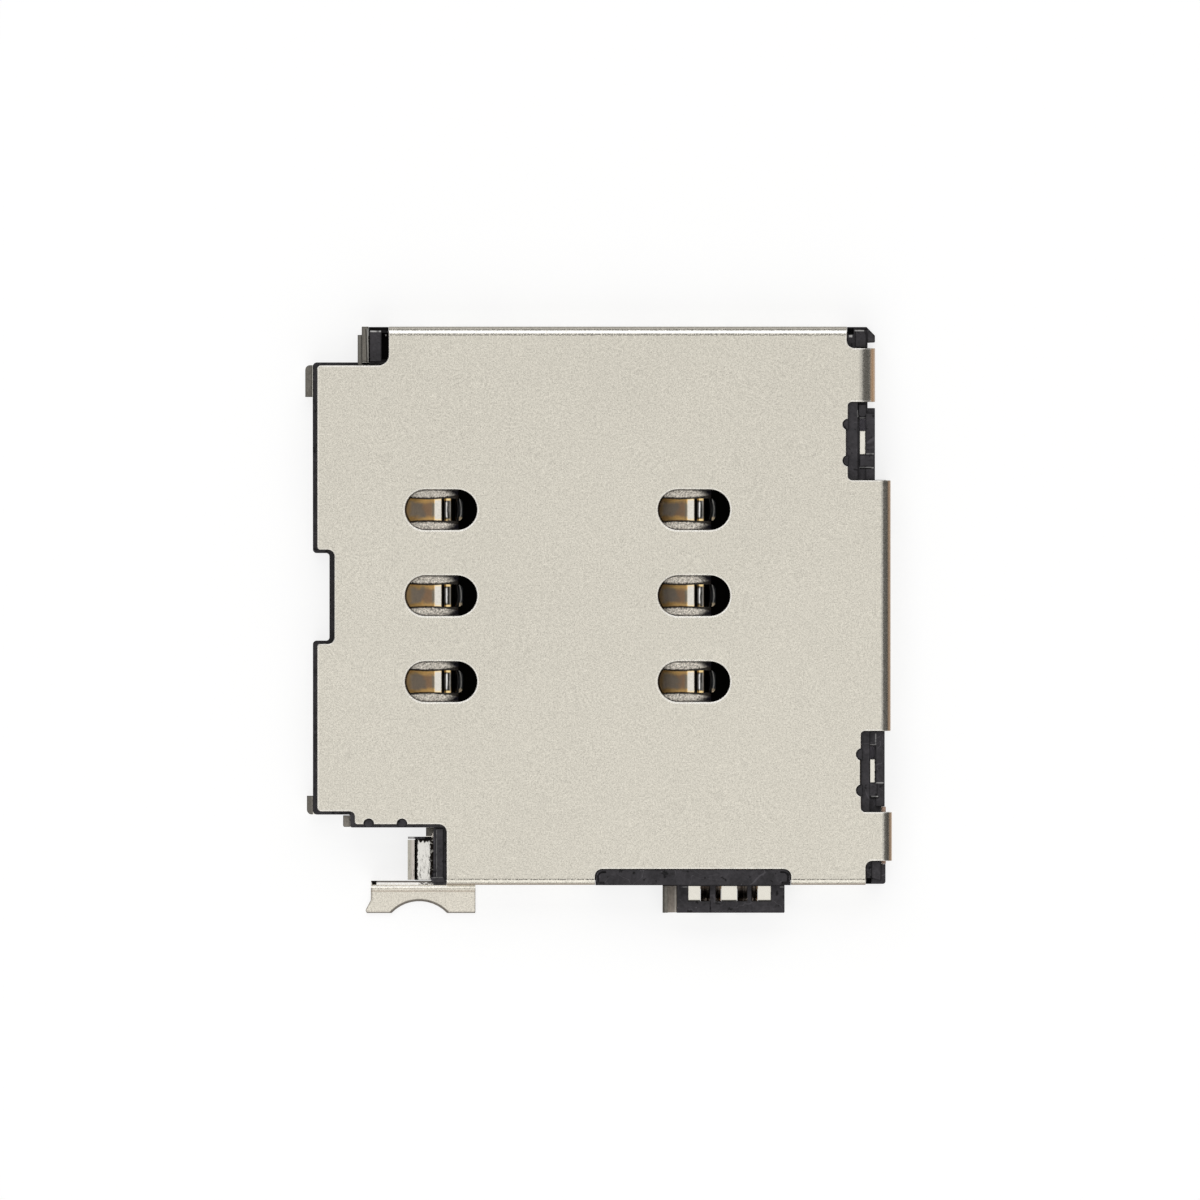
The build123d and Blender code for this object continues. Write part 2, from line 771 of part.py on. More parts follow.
lever_rivet = disc(pivot_x, pivot_y, pin_r, 0.02, 0.90)
head = disc(pivot_x, pivot_y, 0.72, 0.80, 1.00)
head = chamfer(head.edges().group_by(Axis.Z)[-1], 0.06)
lever_rivet = lever_rivet + head

# ---------------------------------------------------------------- write one file per piece
pieces = {
    "top_shell": top_shell,
    "housing": housing,
    "base_plate": base_plate,
    **contacts,
    "detect_spring": detect_spring,
    "detect_contact": detect_contact,
    "tray_latch_spring": tray_latch_spring,
    "eject_rod": eject_rod,
    "eject_lever": eject_lever,
    "lever_rivet": lever_rivet,
}

os.makedirs("parts", exist_ok=True)
for name, shape in pieces.items():
    solids = shape.solids()
    print(name, "solids", len(solids), "volume", round(sum(s.volume for s in solids), 4), "valid", all(s.is_valid for s in solids))
    export_step(Compound(children=list(solids)) if len(solids) > 1 else solids[0], "parts/" + name + ".step")
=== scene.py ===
import bpy, math
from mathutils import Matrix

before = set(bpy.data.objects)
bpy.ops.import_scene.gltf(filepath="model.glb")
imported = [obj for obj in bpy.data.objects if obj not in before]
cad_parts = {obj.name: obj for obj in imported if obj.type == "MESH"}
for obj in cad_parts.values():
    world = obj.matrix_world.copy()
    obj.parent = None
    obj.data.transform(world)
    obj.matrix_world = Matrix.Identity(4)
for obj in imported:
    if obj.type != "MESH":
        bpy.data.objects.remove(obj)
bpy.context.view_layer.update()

# ------------------------------------------------------------------ view
# The reader lies on its solder side and is seen from straight above. The photograph is 1200 x 1200
# and holds 35.45 mm, with its middle at X 0.044, Y 0.588 mm. A long lens keeps the walls edge-on.
VIEW_MM = 35.45
MIDDLE = (0.0443e-3, 0.588e-3)
TOP = 1.5e-3
AWAY = 1.50

scene = bpy.context.scene
scene.view_settings.view_transform = "Standard"
scene.view_settings.look = "None"
scene.view_settings.exposure = 0.0
scene.view_settings.gamma = 1.0

cam_data = bpy.data.cameras.new("camera")
cam_data.sensor_width = 36.0
cam_data.lens = 36.0 * AWAY / (VIEW_MM * 1e-3)
cam_data.clip_start, cam_data.clip_end = 0.01, 20.0
camera = bpy.data.objects.new("camera", cam_data)
camera.location = (MIDDLE[0], MIDDLE[1], TOP + AWAY)
scene.collection.objects.link(camera)
scene.camera = camera


# ------------------------------------------------------------------ node helpers (lengths in mm)
class Tree:
    """One material: a Principled shader, and small functions that add nodes before it."""

    def __init__(self, name):
        self.mat = bpy.data.materials.new(name)
        self.mat.use_nodes = True
        self.nt = self.mat.node_tree
        self.nt.nodes.clear()
        self.out = self.nt.nodes.new("ShaderNodeOutputMaterial")
        self.bsdf = self.nt.nodes.new("ShaderNodeBsdfPrincipled")
        self.nt.links.new(self.bsdf.outputs[0], self.out.inputs[0])
        coord = self.nt.nodes.new("ShaderNodeTexCoord")
        scale = self.nt.nodes.new("ShaderNodeVectorMath")
        scale.operation = "SCALE"
        scale.inputs["Scale"].default_value = 1000.0
        self.nt.links.new(coord.outputs["Object"], scale.inputs[0])
        self.p = scale.outputs[0]
        self.x, self.y, self.z = self.parts(self.p)
        self.normal = coord.outputs["Normal"]
        self.nx, self.ny, self.nz = self.parts(self.normal)

    def put(self, value, socket):
        if isinstance(value, bpy.types.NodeSocket):
            self.nt.links.new(value, socket)
        elif isinstance(value, (tuple, list)) and len(value) == 3 and socket.type == "RGBA":
            socket.default_value = (*value, 1.0)
        else:
            socket.default_value = value

    def parts(self, vector):
        n = self.nt.nodes.new("ShaderNodeSeparateXYZ")
        self.put(vector, n.inputs[0])
        return n.outputs[0], n.outputs[1], n.outputs[2]

    def join(self, x, y, z):
        n = self.nt.nodes.new("ShaderNodeCombineXYZ")
        for i, v in enumerate((x, y, z)):
            self.put(v, n.inputs[i])
        return n.outputs[0]

    def math(self, op, a, b=0.0, c=0.0, clamp=False):
        n = self.nt.nodes.new("ShaderNodeMath")
        n.operation = op
        n.use_clamp = clamp
        self.put(a, n.inputs[0])
        self.put(b, n.inputs[1])
        self.put(c, n.inputs[2])
        return n.outputs[0]

    def add(self, a, b):
        return self.math("ADD", a, b)

    def sub(self, a, b):
        return self.math("SUBTRACT", a, b)

    def mul(self, a, b):
        return self.math("MULTIPLY", a, b)

    def step(self, value, low, high, to0=0.0, to1=1.0, smooth=True):
        """0 below low, 1 above high (low may be the larger one)."""
        n = self.nt.nodes.new("ShaderNodeMapRange")
        n.interpolation_type = "SMOOTHSTEP" if smooth else "LINEAR"
        n.clamp = True
        self.put(value, n.inputs["Value"])
        if low > high:
            low, high, to0, to1 = high, low, to1, to0
        n.inputs["From Min"].default_value = low
        n.inputs["From Max"].default_value = high
        n.inputs["To Min"].default_value = to0
        n.inputs["To Max"].default_value = to1
        return n.outputs[0]

    def band(self, value, a, b, soft=0.02):
        """1 between a and b."""
        return self.mul(self.step(value, a - soft, a + soft), self.step(value, b + soft, b - soft))

    def noise(self, scale, detail=2.0, rough=0.5, bent=0.0, at=None, stretch=None):
        vec = at if at is not None else self.p
        if stretch:
            m = self.nt.nodes.new("ShaderNodeMapping")
            m.inputs["Scale"].default_value = stretch
            self.put(vec, m.inputs["Vector"])
            vec = m.outputs[0]
        n = self.nt.nodes.new("ShaderNodeTexNoise")
        self.put(vec, n.inputs["Vector"])
        n.inputs["Scale"].default_value = scale
        n.inputs["Detail"].default_value = detail
        n.inputs["Roughness"].default_value = rough
        n.inputs["Distortion"].default_value = bent
        return n.outputs[0]

    def cells(self, scale, at=None, stretch=None, feature="F1", random=1.0):
        vec = at if at is not None else self.p
        if stretch:
            m = self.nt.nodes.new("ShaderNodeMapping")
            m.inputs["Scale"].default_value = stretch
            self.put(vec, m.inputs["Vector"])
            vec = m.outputs[0]
        n = self.nt.nodes.new("ShaderNodeTexVoronoi")
        n.feature = feature
        self.put(vec, n.inputs["Vector"])
        n.inputs["Scale"].default_value = scale
        n.inputs["Randomness"].default_value = random
        return n.outputs["Distance"]

    def turned(self, angle, stretch=(1, 1, 1)):
        """Position turned about Z by angle degrees, then stretched."""
        m = self.nt.nodes.new("ShaderNodeMapping")
        m.inputs["Rotation"].default_value = (0, 0, math.radians(angle))
        m.inputs["Scale"].default_value = stretch
        self.put(self.p, m.inputs["Vector"])
        return m.outputs[0]

    def mix(self, share, a, b, mode="MIX"):
        n = self.nt.nodes.new("ShaderNodeMix")
        n.data_type = "RGBA"
        n.blend_type = mode
        self.put(share, n.inputs[0])
        self.put(a, n.inputs[6])
        self.put(b, n.inputs[7])
        return n.outputs[2]

    def blend(self, share, a, b):
        n = self.nt.nodes.new("ShaderNodeMix")
        n.data_type = "FLOAT"
        self.put(share, n.inputs[0])
        self.put(a, n.inputs[2])
        self.put(b, n.inputs[3])
        return n.outputs[0]

    def tone(self, colour, factor):
        """colour times a grey factor."""
        n = self.nt.nodes.new("ShaderNodeMix")
        n.data_type = "RGBA"
        n.blend_type = "MULTIPLY"
        n.inputs[0].default_value = 1.0
        self.put(colour, n.inputs[6])
        g = self.nt.nodes.new("ShaderNodeCombineColor")
        for i in range(3):
            self.put(factor, g.inputs[i])
        self.nt.links.new(g.outputs[0], n.inputs[7])
        return n.outputs[2]

    def bump(self, height, microns, strength=1.0, after=None):
        n = self.nt.nodes.new("ShaderNodeBump")
        n.inputs["Strength"].default_value = strength
        n.inputs["Distance"].default_value = microns * 1e-6
        self.put(height, n.inputs["Height"])
        if after is not None:
            self.nt.links.new(after, n.inputs["Normal"])
        return n.outputs[0]

    def box(self, x0, x1, y0, y1, soft=0.012):
        """1 inside a rectangle in plan."""
        return self.mul(self.band(self.x, x0, x1, soft), self.band(self.y, y0, y1, soft))

    def sine(self, value, turns):
        return self.math("SINE", self.mul(value, turns * 2 * math.pi))

    def edge_share(self, radius_mm, samples=6):
        """0 on open faces, rising towards every edge nearer than the radius."""
        geo = self.nt.nodes.new("ShaderNodeNewGeometry")
        dot = self.nt.nodes.new("ShaderNodeVectorMath")
        dot.operation = "DOT_PRODUCT"
        self.nt.links.new(self.soft_edges(radius_mm, samples), dot.inputs[0])
        self.nt.links.new(geo.outputs["True Normal"], dot.inputs[1])
        return self.step(dot.outputs["Value"], 0.995, 0.90)

    def soft_edges(self, radius_mm, samples=4):
        n = self.nt.nodes.new("ShaderNodeBevel")
        n.samples = samples
        n.inputs["Radius"].default_value = radius_mm * 1e-3
        return n.outputs[0]

    def surface(self, colour, rough, metal=0.0, normal=None, **more):
        self.put(colour, self.bsdf.inputs["Base Color"])
        self.put(rough, self.bsdf.inputs["Roughness"])
        self.put(metal, self.bsdf.inputs["Metallic"])
        if normal is not None:
            self.nt.links.new(normal, self.bsdf.inputs["Normal"])
        for k, v in more.items():
            self.bsdf.inputs[k.replace("_", " ")].default_value = v
        return self.mat


def srgb(r, g, b):
    """Screen colour 0..255 to the shader's linear colour."""
    out = []
    for c in (r, g, b):
        c /= 255
        out.append(c / 12.92 if c <= 0.04045 else ((c + 0.055) / 1.055) ** 2.4)
    return tuple(out)


COLUMNS = (-4.659, 2.812)                      # middles of the two contact columns
ROWS = (0.717 + 2.54, 0.717, 0.717 - 2.54)     # and of their three rows


# ------------------------------------------------------------------ materials
def cover_steel():
    """Matt rolled sheet: very fine worm-like grain and sparse pits. The bends carry painted reflections: stretched dark
    and speckled where they start, warm or grey near their outer line, near white on the top bend. Painted highlights
    line the stamped outline, and painted shade and highlights mark the foot."""
    t = Tree("cover_steel")
    grain = t.noise(26.0, 0.0, 0.5, 0.0)
    second = t.noise(17.0, 0.0, 0.5, 0.3, at=t.turned(40))
    worm = t.sine(t.noise(0.85, 1.0, 0.5, 0.5), 26.0)
    worm_share = t.step(t.noise(1.1, 1.0, 0.5, at=t.turned(31)), 0.36, 0.60)
    cloud = t.noise(0.30, 2.0, 0.5)
    pit = t.step(t.cells(1.9, at=t.turned(9)), 0.055, 0.025)
    tone = t.add(0.990, t.mul(t.sub(grain, 0.5), 0.64))
    tone = t.add(tone, t.mul(t.sub(second, 0.5), 0.22))
    tone = t.add(tone, t.mul(t.mul(worm, worm_share), 0.045))
    tone = t.add(tone, t.mul(t.sub(cloud, 0.5), 0.06))
    tone = t.add(tone, t.mul(t.y, -0.0026))
    tone = t.sub(tone, t.mul(pit, 0.22))
    ragged = t.mul(t.sub(grain, 0.5), 1.0)
    # outer line of each bend: nz runs from 1 on the flat to 0 on the wall; the bend colours below are painted
    # reflections
    outer = t.mul(t.step(t.nz, 0.74, 0.54), t.step(t.nz, 0.0, 0.06))
    right, top, low = t.step(t.nx, 0.3, 0.5), t.step(t.ny, 0.3, 0.5), t.step(t.ny, -0.3, -0.5)
    steel = (0.715, 0.680, 0.594)
    # painted reflection: the right bend darkened where it starts to turn
    bent = t.mul(t.step(t.add(t.nx, t.mul(ragged, 0.45)), 0.03, 0.17), t.step(t.nx, 0.001, 0.01))
    base = t.mix(t.mul(bent, 0.49), steel, (0.24, 0.235, 0.225))
    base = t.mix(t.mul(outer, right), base, (0.42, 0.29, 0.185))
    # painted reflections: a brown band and a dark line on the right bend
    base = t.mix(t.mul(t.mul(t.band(t.nz, 0.42, 0.74, 0.04), right), 0.65), base, (0.33, 0.195, 0.10))
    base = t.mix(t.mul(t.mul(t.step(t.x, 8.49, 8.53), t.step(t.nz, 0.40, 0.46)), t.mul(right, 0.45)), base, (0.12, 0.095, 0.075))
    # painted highlight: near white band on the top bend
    top_bend_highlight = t.mul(t.band(t.ny, 0.17, 0.58, 0.06), t.step(t.z, 1.20, 1.25))
    base = t.mix(top_bend_highlight, base, (0.96, 0.94, 0.90))
    # painted reflections: grey on the top bend's outer line, brown on the bottom one
    base = t.mix(t.mul(outer, top), base, (0.33, 0.305, 0.265))
    base = t.mix(t.mul(t.mul(outer, low), t.step(t.z, 0.7, 0.8)), base, (0.26, 0.205, 0.155))
    # painted reflection: thin ragged dark lines where the long bends start
    start_n = t.mul(t.band(t.add(t.y, t.mul(ragged, 0.02)), 8.395, 8.445, 0.012), t.band(t.x, -6.16, 7.30, 0.02))
    start_s = t.mul(t.band(t.add(t.y, t.mul(ragged, 0.02)), -7.690, -7.650, 0.012), t.step(t.x, -4.50, -4.46))
    start = t.mul(t.math("MAXIMUM", start_n, start_s), t.step(t.z, 1.40, 1.44))
    base = t.mix(t.mul(start, t.step(t.add(0.5, t.mul(ragged, 1.5)), 0.80, 0.35)), base, (0.34, 0.32, 0.28))
    # painted shade: a dark outline along the foot's sheared edges, notch and lower edge; a painted reflection along the
    # line of its bend; a painted highlight on the top edge of its wall, with a painted dark shadow line on it
    on_foot = t.mul(t.step(t.y, -7.90, -7.94), t.step(t.z, 0.30, 0.22))
    edge = t.edge_share(0.065)
    dx, dy = t.add(t.x, 5.2985), t.add(t.y, 9.452)
    arch = t.sub(t.math("SQRT", t.add(t.mul(dx, dx), t.mul(dy, dy))), 1.135)
    rim = t.math("MAXIMUM", t.step(arch, 0.085, 0.045), t.mul(t.step(t.y, -8.615, -8.645), 0.8))
    rim = t.math("MAXIMUM", rim, t.mul(t.mul(t.step(t.x, -6.66, -6.70), t.step(t.y, -8.40, -8.20)), 0.40))
    sheared = t.mul(t.math("MAXIMUM", edge, rim), on_foot)
    # the stamped outline of the flat catches a thin light line
    glint = t.math("MULTIPLY", t.mul(edge, t.step(t.z, 1.44, 1.48)), 5.0, clamp=True)
    column = t.math("LESS_THAN", t.x, -0.9)
    u = t.sub(t.x, t.blend(column, COLUMNS[1], COLUMNS[0]))
    side = t.math("WRAP", t.sub(t.y, ROWS[1]), 1.27, -1.27)
    run = t.math("MAXIMUM", t.sub(t.math("ABSOLUTE", u), 0.465), 0.0)
    off = t.math("SQRT", t.add(t.mul(run, run), t.mul(side, side)))
    halo = t.mul(t.mul(t.band(off, 0.612, 0.655, 0.012), t.band(t.y, -2.6, 4.1, 0.02)), t.step(t.z, 1.44, 1.48))
    halo = t.mul(halo, t.add(0.30, t.mul(t.step(t.sub(t.mul(u, 0.5), side), -0.35, 0.45), 0.70)))
    glint = t.math("MAXIMUM", t.mul(glint, 0.75), halo)
    # painted highlights: light lines along listed edges
    for x0, x1, y0, y1, share in (
        (-8.20, -6.45, 7.468, 7.505, 0.9),
        (-8.292, -8.258, -5.60, -0.80, 0.4),
        (-8.292, -8.258, 2.15, 7.45, 0.4),
        (-8.20, -7.30, -5.641, -5.606, 0.5),
        (-7.05, -4.75, -6.022, -5.988, 0.4),
        (-4.474, -4.440, -7.60, -6.25, 0.4),
        (7.285, 7.328, 8.12, 8.42, 0.5),
        (7.52, 8.05, 7.980, 8.017, 0.8),
        (7.46, 8.05, 6.453, 6.490, 0.8),
        (7.46, 8.36, 4.078, 4.114, 0.6),
        (7.86, 8.36, -3.267, -3.232, 0.7),
        (7.86, 8.40, -5.724, -5.688, 0.9),
        (8.00, 8.40, -7.105, -7.070, 0.7),
        (0.05, 5.50, -7.346, -7.312, 0.45),
    ):
        glint = t.math("MAXIMUM", glint, t.mul(t.mul(t.box(x0, x1, y0, y1, 0.010), t.step(t.z, 1.30, 1.36)), share))
    base = t.mix(t.mul(glint, 0.80), base, (0.98, 0.95, 0.89))
    base = t.mix(on_foot, base, (0.758, 0.715, 0.624))
    # painted reflection: a brownish line along the foot's bend
    bend = t.mul(t.band(t.add(t.y, t.mul(ragged, 0.03)), -8.040, -7.998, 0.012), t.step(t.z, 0.30, 0.22))
    base = t.mix(t.mul(sheared, 0.85), base, (0.085, 0.070, 0.06))
    base = t.mix(t.mul(bend, 0.50), base, (0.30, 0.22, 0.16))
    # painted highlight: the wall's top edge painted near white
    wall_top = t.mul(t.step(t.x, -4.47, -4.51), t.mul(t.band(t.y, -7.90, -7.60, 0.01), t.step(t.z, 0.50, 0.55)))
    base = t.mix(t.mul(wall_top, 0.8), base, (0.97, 0.95, 0.91))
    # painted shadow: a dark line along the back of the wall's top edge, and a near-black corner
    line = t.step(t.add(t.y, t.mul(ragged, 0.02)), -7.770, -7.745)
    corner = t.mul(t.band(t.x, -6.70, -6.56, 0.012), wall_top)
    line = t.math("MAXIMUM", line, t.mul(t.step(t.x, -5.36, -5.25), t.step(second, 0.72, 0.42)))
    base = t.mix(t.mul(wall_top, t.mul(line, 0.88)), base, (0.035, 0.025, 0.018))
    base = t.mix(corner, base, (0.006, 0.005, 0.004))
    # painted highlight: a near-white line on the bend below the wall
    crease = t.mul(t.mul(t.band(t.y, -7.905, -7.828, 0.01), t.step(t.x, -4.46, -4.50)), t.step(t.z, 0.9, 0.8))
    base = t.mix(t.mul(crease, 0.8), base, (1.0, 0.98, 0.93))
    colour = t.tone(base, tone)
    rough = t.add(0.22, t.mul(grain, 0.10))
    height = t.add(t.mul(grain, 1.0), t.mul(t.mul(worm, worm_share), 0.06))
    normal = t.bump(height, 1.8)
    return t.surface(colour, rough, 1.0, normal)


def black_plastic():
    """Moulded glass-filled resin: charcoal with a faint mottle, flow marks, dust-fine specks, and pale painted
    highlights on some edges. Inside, below the cover, it is painted plain dead black as shade."""
    t = Tree("black_plastic")
    mottle = t.noise(2.2, 5.0, 0.62, 0.9)
    fine = t.noise(12.0, 2.0, 0.6)
    vein = t.step(t.math("ABSOLUTE", t.sub(t.noise(0.9, 2.0, 0.5, 1.2), 0.5)), 0.012, 0.003)
    vein = t.mul(vein, t.step(t.noise(1.6, 1.0, at=t.turned(50)), 0.42, 0.55))
    dark = t.step(t.noise(5.0, 2.0, 0.6, at=t.turned(12)), 0.62, 0.70)
    speck = t.step(t.cells(2.6), 0.070, 0.035)
    tone = t.add(0.10, t.mul(mottle, 1.80))
    tone = t.add(tone, t.mul(t.sub(fine, 0.5), 0.9))
    tone = t.add(tone, t.mul(vein, 0.9))
    tone = t.add(tone, t.mul(speck, 1.2))
    tone = t.math("MAXIMUM", t.mul(tone, t.sub(1.0, t.mul(dark, 0.75))), 0.12)
    colour = t.tone(srgb(63, 61, 64), tone)
    edge_highlight = None
    # painted highlights: pale lines on listed edges
    for x0, x1, y0, y1, share in (
        (-6.745, -6.430, 8.505, 8.545, 1.0),
        (-6.320, -6.272, 8.395, 8.450, 1.0),
        (7.570, 7.855, 8.530, 8.570, 0.75),
        (7.400, 7.500, 8.350, 8.415, 1.0),
        (7.903, 8.140, 4.890, 4.925, 0.45),
        (7.717, 8.127, 4.482, 4.520, 0.70),
        (7.720, 7.890, 5.955, 5.985, 0.40),
        (7.650, 7.678, 5.99, 6.20, 0.45),
        (8.190, 8.420, -4.830, -4.795, 0.60),
        (8.056, 8.260, -5.235, -5.200, 0.80),
        (8.175, 8.205, -3.690, -3.360, 0.45),
        (8.020, 8.200, -3.705, -3.675, 0.45),
        (2.480, 2.630, -7.905, -7.880, 0.55),
        (5.360, 5.480, -7.905, -7.880, 0.45),
        (-4.800, -4.775, -7.58, -6.20, 0.25),
        (-4.940, -4.600, -7.625, -7.600, 0.35),
        (-5.660, -5.430, -6.480, -6.400, 0.85),
    ):
        m = t.mul(t.box(x0, x1, y0, y1), share)
        edge_highlight = m if edge_highlight is None else t.math("MAXIMUM", edge_highlight, m)
    broken = t.step(t.noise(7.0, 2.0, 0.6, at=t.turned(70)), 0.34, 0.52)
    edge_highlight = t.mul(t.mul(edge_highlight, t.step(t.z, 0.95, 1.0)), t.add(0.25, t.mul(broken, 0.75)))
    # painted shade: the plastic below the cover is painted dead black, and the metallic input takes away its shine
    inside = t.mul(t.step(t.z, 0.50, 0.46), t.mul(t.band(t.x, -7.72, 7.3, 0.02), t.band(t.y, -5.62, 7.40, 0.02)))
    # painted shade: the deep gap beside the latch spring's root, painted dead black
    gap = t.mul(t.box(-6.412, -6.205, 7.62, 8.66), t.step(t.z, 1.18, 1.12))
    gap = t.math("MAXIMUM", gap, t.box(-6.79, -6.758, 7.60, 8.66, 0.008))
    gap = t.math("MAXIMUM", gap, t.box(-6.79, -6.20, 8.555, 8.66, 0.008))
    inside = t.math("MAXIMUM", inside, t.mul(gap, 0.9))
    # painted shade: dark lines along the edges
    colour = t.mix(t.mul(t.edge_share(0.045), 0.45), colour, (0.006, 0.005, 0.006))
    colour = t.mix(inside, colour, (0.004, 0.0035, 0.003))
    inside = t.mul(inside, t.sub(1.0, edge_highlight))
    # painted light: two deep pits painted pale grey so they read as lit
    pit = t.math("MAXIMUM", t.box(7.68, 7.90, 5.60, 5.97), t.box(8.01, 8.18, -4.11, -3.71))
    pit = t.mul(pit, t.step(t.z, 1.10, 1.00))
    colour = t.mix(t.mul(pit, 0.9), colour, srgb(176, 172, 180))
    colour = t.mix(edge_highlight, colour, (0.62, 0.61, 0.60))
    rough = t.add(0.46, t.mul(mottle, 0.20))
    height = t.add(t.mul(fine, 0.8), t.add(t.mul(mottle, 2.0), t.mul(vein, 0.6)))
    normal = t.bump(height, 6.0, after=t.soft_edges(0.022))
    return t.surface(colour, rough, inside, normal, Specular_IOR_Level=0.17)


def plate_steel():
    """Base plate: bright rolled sheet below; the tabs that stand up are darker grey, partly for their sheared edges and
    partly as painted shade, with painted dark outlines and a few painted light marks. Under the contacts the sheet is
    speckled by the punch and painted dark where the cover shades it."""
    t = Tree("plate_steel")
    grain = t.noise(9.0, 3.0, 0.6, 0.8)
    fine = t.noise(14.0, 1.5, 0.6, 0.4)
    cloud = t.noise(1.6, 2.0, 0.5)
    stria = t.noise(6.0, 3.0, 0.6, 0.0, stretch=(1.0, 1.0, 0.2))
    # tabs that stand up: a darker grey, partly for their sheared edges and partly as painted shade
    stands = t.step(t.z, 0.205, 0.24)
    lip = t.box(1.85, 2.33, -8.70, -7.80, 0.01)
    stands = t.math("MAXIMUM", stands, lip)
    bright = t.tone((0.81, 0.78, 0.70), t.add(0.90, t.mul(grain, 0.16)))
    sheared = t.tone(srgb(124, 120, 113), t.add(0.45, t.add(t.mul(fine, 0.75), t.mul(stria, 0.35))))
    flat = t.tone(srgb(180, 171, 161), t.add(0.50, t.add(t.mul(fine, 0.60), t.mul(stria, 0.35))))
    # painted highlight: a light line on the terminal's flat
    flat = t.mix(t.band(t.x, 2.255, 2.285, 0.008), flat, (0.85, 0.80, 0.72))
    sheared = t.mix(t.mul(lip, t.step(t.z, 0.9, 0.8)), sheared, flat)
    # painted shade: the terminal's left edge and stripe painted dark
    sheared = t.mix(t.mul(t.mul(lip, t.step(t.x, 1.935, 1.918)), 0.8), sheared, (0.05, 0.045, 0.042))
    sheared = t.mix(t.mul(t.mul(lip, t.band(t.x, 1.932, 1.968, 0.006)), 0.45), sheared, (0.05, 0.045, 0.042))
    # painted light on two tabs
    lit = t.math("MAXIMUM", t.box(-8.475, -8.400, -5.80, -5.10), t.mul(t.box(-7.56, -7.34, -6.13, -5.74), 0.8))
    sheared = t.mix(lit, sheared, t.tone(srgb(166, 160, 151), t.add(0.55, t.add(t.mul(fine, 0.55), t.mul(stria, 0.35)))))
    pin = t.math("MAXIMUM", t.box(8.36, 8.52, -5.68, -5.44), t.box(8.36, 8.52, -7.24, -7.08))
    sheared = t.mix(pin, sheared, (0.62, 0.44, 0.34))
    # painted shade: dark outlines along the edges of the terminal and pins
    outline = t.mul(t.edge_share(0.060), t.blend(t.math("MAXIMUM", lip, pin), 0.80, 0.25))
    sheared = t.mix(outline, sheared, (0.040, 0.037, 0.035))
    bow = t.add(t.x, t.add(t.mul(t.sub(t.y, 8.1), 0.03), t.mul(t.sub(fine, 0.5), 0.02)))
    upper = t.band(t.y, 7.55, 8.60, 0.02)
    sheared = t.mix(t.mul(t.mul(t.band(bow, -6.872, -6.842, 0.010), upper), 0.85), sheared, (0.025, 0.023, 0.022))
    sheared = t.mix(t.mul(t.mul(t.band(bow, -6.830, -6.800, 0.010), upper), 0.70), sheared, (0.42, 0.41, 0.39))
    # distance from the nearest contact column and row
    left = t.math("LESS_THAN", t.x, -0.9)
    u = t.sub(t.x, t.blend(left, COLUMNS[1], COLUMNS[0]))
    shifted = t.math("WRAP", t.sub(t.y, ROWS[1]), 1.27, -1.27)
    v = t.math("ABSOLUTE", shifted)
    slot = t.mul(t.band(u, -1.20, 1.20, 0.02), t.mul(t.step(v, 0.66, 0.64), t.band(t.y, -2.6, 4.1, 0.02)))
    pepper = t.noise(19.0, 0.0, 0.5, 0.3)
    speckle = t.add(0.98, t.add(t.mul(t.sub(pepper, 0.5), 1.35), t.mul(t.step(fine, 0.40, 0.33), -0.35)))
    floor = t.tone((0.765, 0.71, 0.625), speckle)
    reach = t.add(0.50, t.mul(t.sub(v, 0.38), -1.10))
    shade = t.step(t.add(t.sub(u, reach), t.mul(t.sub(fine, 0.5), 0.22)), -0.36, 0.07)
    # painted shadow: a dark ragged line beside each beam edge
    width = t.add(0.318, t.mul(t.math("POWER", t.math("ABSOLUTE", t.add(u, 0.38)), 2.0), 0.10))
    ragged = t.add(t.sub(v, width), t.mul(t.sub(fine, 0.5), 0.07))
    gap = t.step(ragged, 0.062, 0.030)
    floor = t.mix(shade, floor, (0.010, 0.009, 0.012))
    floor = t.mix(t.mul(gap, 0.92), floor, (0.012, 0.009, 0.007))
    # thin shade under the slot's edge
    run = t.math("MAXIMUM", t.sub(t.math("ABSOLUTE", u), 0.48), 0.0)
    off = t.math("SQRT", t.add(t.mul(run, run), t.mul(v, v)))
    floor = t.mix(t.mul(t.step(t.add(off, t.mul(t.sub(fine, 0.5), 0.04)), 0.545, 0.580), 0.75), floor, (0.05, 0.045, 0.04))
    bright = t.mix(slot, bright, floor)
    # the switch frame shades all of the sheet but three panes
    pane = t.box(2.656, 3.010, -8.278, -7.60)
    pane = t.math("MAXIMUM", pane, t.box(3.636, 4.095, -8.278, -7.60))
    pane = t.math("MAXIMUM", pane, t.box(4.715, 5.093, -8.278, -7.60))
    shaded = t.mul(t.mul(t.box(2.40, 5.40, -8.55, -7.80), t.step(t.z, 0.26, 0.22)), t.sub(1.0, pane))
    bright = t.mix(t.mul(shaded, 0.92), bright, (0.02, 0.017, 0.015))
    colour = t.mix(stands, bright, sheared)
    rough = t.add(t.blend(stands, t.blend(slot, 0.05, 0.22), 0.42), t.mul(cloud, 0.05))
    calm = t.math("MAXIMUM", t.math("MAXIMUM", stands, slot), 0.12)
    normal = t.bump(t.mul(t.add(fine, t.mul(stria, 0.5)), calm), 5.0)
    return t.surface(colour, rough, 1.0, normal)


